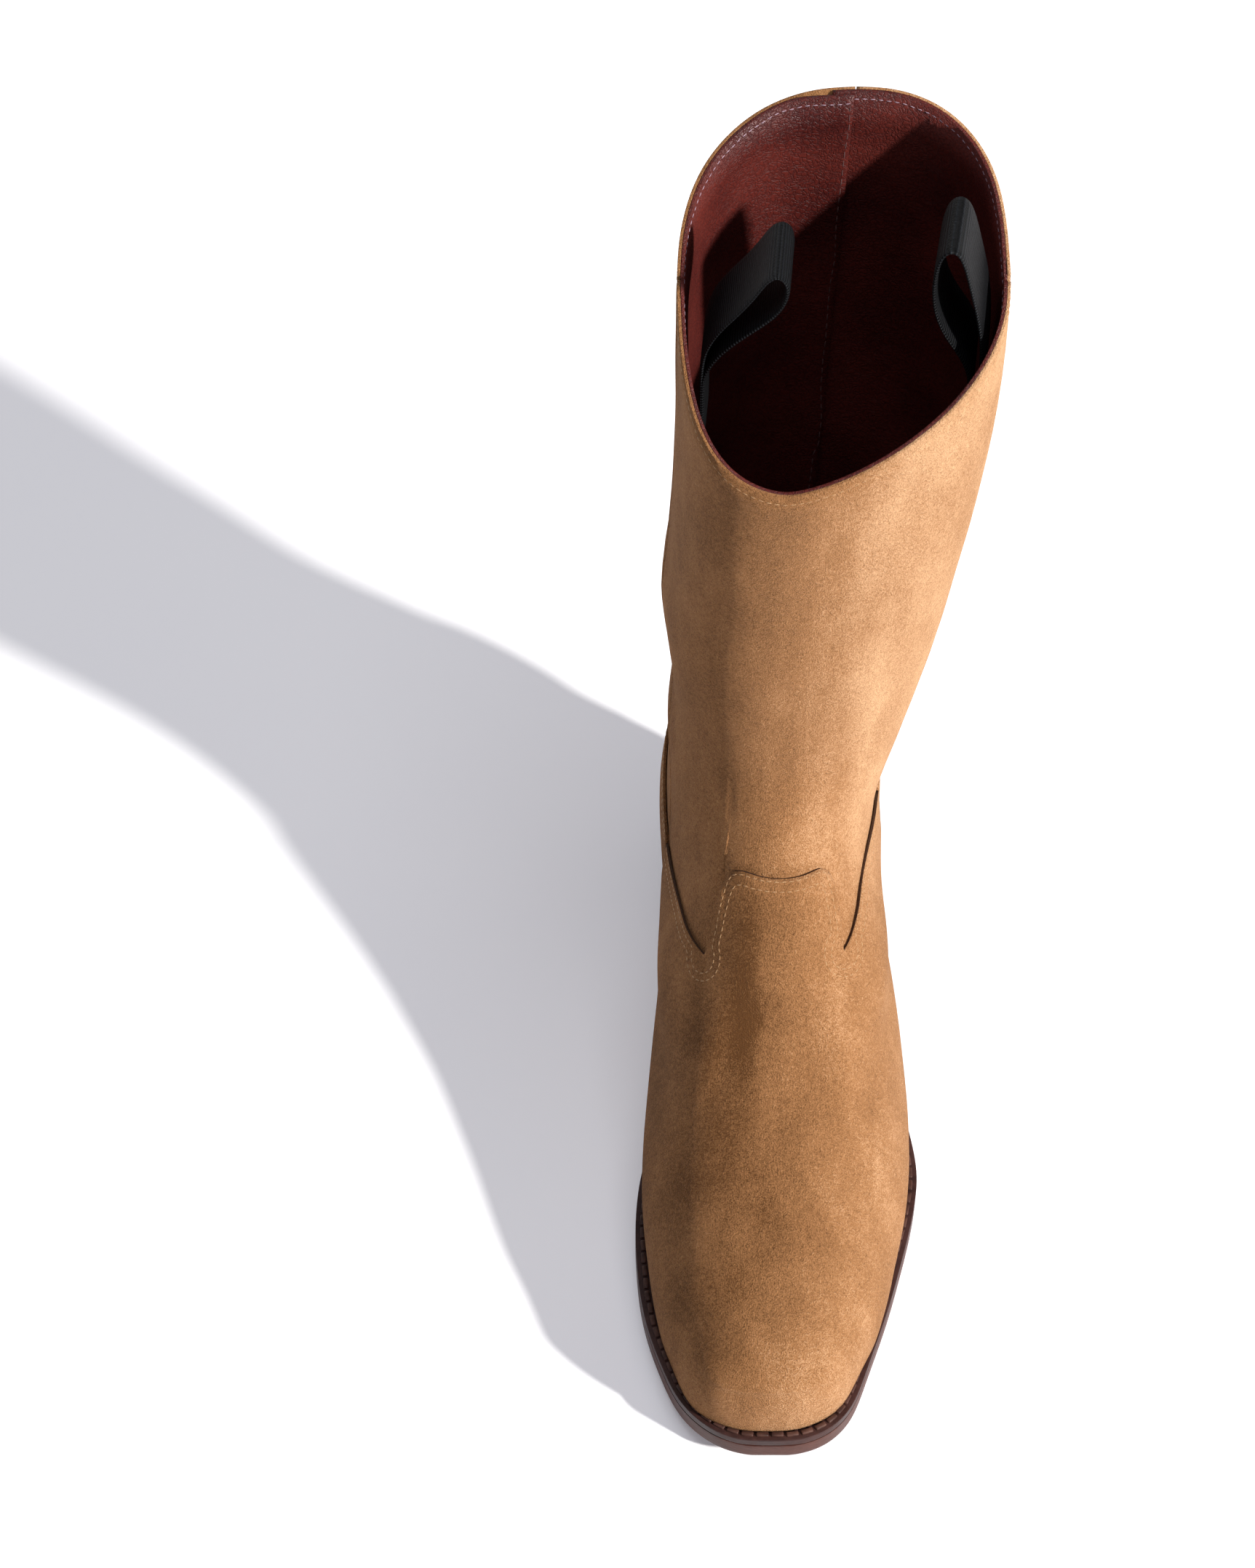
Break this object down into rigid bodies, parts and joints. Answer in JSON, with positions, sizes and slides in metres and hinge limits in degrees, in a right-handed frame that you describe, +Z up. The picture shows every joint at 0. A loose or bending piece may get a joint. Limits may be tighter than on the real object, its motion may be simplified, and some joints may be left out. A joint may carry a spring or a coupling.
{
  "type": "cowboy boot",
  "caption": "Pull-on western boot for the left foot with a square toe, scooped shaft, welted leather sole, stacked heel and two inner webbing pull straps.",
  "frame": {"origin": "on the floor under the middle of the heel", "axes": "+Z up the shaft, -Y towards the toe, +X towards the outer side of the foot"},
  "size_m": [0.1187, 0.3036, 0.3793],
  "materials": {
    "suede": "napped camel suede",
    "lining": "fine-grained burgundy lining leather",
    "sole": "waxed sole leather",
    "welt": "waxed dark welt leather",
    "board": "leather board",
    "cork": "ground cork",
    "rubber": "matt black rubber",
    "steel": "plain steel",
    "webbing": "black grosgrain webbing"
  },
  "bodies": {
    "boot": {"vamp": "suede", "shaft_front": "suede", "shaft_back_lateral": "suede", "shaft_back_medial": "suede", "counter_cover": "suede", "side_beading_medial": "suede", "side_beading_lateral": "suede", "vamp_lining": "lining", "heel_lining": "lining", "shaft_lining_front": "lining", "shaft_lining_back_lateral": "lining", "shaft_lining_back_medial": "lining", "sock_lining": "lining", "toe_puff": "board", "heel_stiffener": "board", "insole": "board", "heel_seat_filler": "board", "cork_filler": "cork", "shank": "steel", "welt": "welt", "heel_rand": "welt", "outsole": "sole", "heel_lift_1": "sole", "heel_nail_1": "steel", "heel_lift_2": "sole", "heel_nail_2": "steel", "heel_lift_3": "sole", "heel_nail_3": "steel", "heel_lift_4": "sole", "heel_nail_4": "steel", "heel_lift_5": "sole", "heel_nail_5": "steel", "top_lift": "rubber", "strap_anchor_medial": "webbing", "strap_anchor_lateral": "webbing"},
    "medial_pull_strap": {"pull_strap_medial": "webbing"},
    "lateral_pull_strap": {"pull_strap_lateral": "webbing"}
  },
  "joints": [
    {"name": "medial_strap_fold", "type": "hinge", "parent": "boot", "child": "medial_pull_strap", "pos_m": [-0.0268, -0.014, 0.3212], "axis": [0.0872, 0.9962, 0], "range_deg": [-4, 32], "stiffness_Nm_per_rad": 0.06},
    {"name": "lateral_strap_fold", "type": "hinge", "parent": "boot", "child": "lateral_pull_strap", "pos_m": [0.0609, -0.014, 0.3212], "axis": [0.1564, 0.9877, 0], "range_deg": [-32, 4], "stiffness_Nm_per_rad": 0.06}
  ]
}
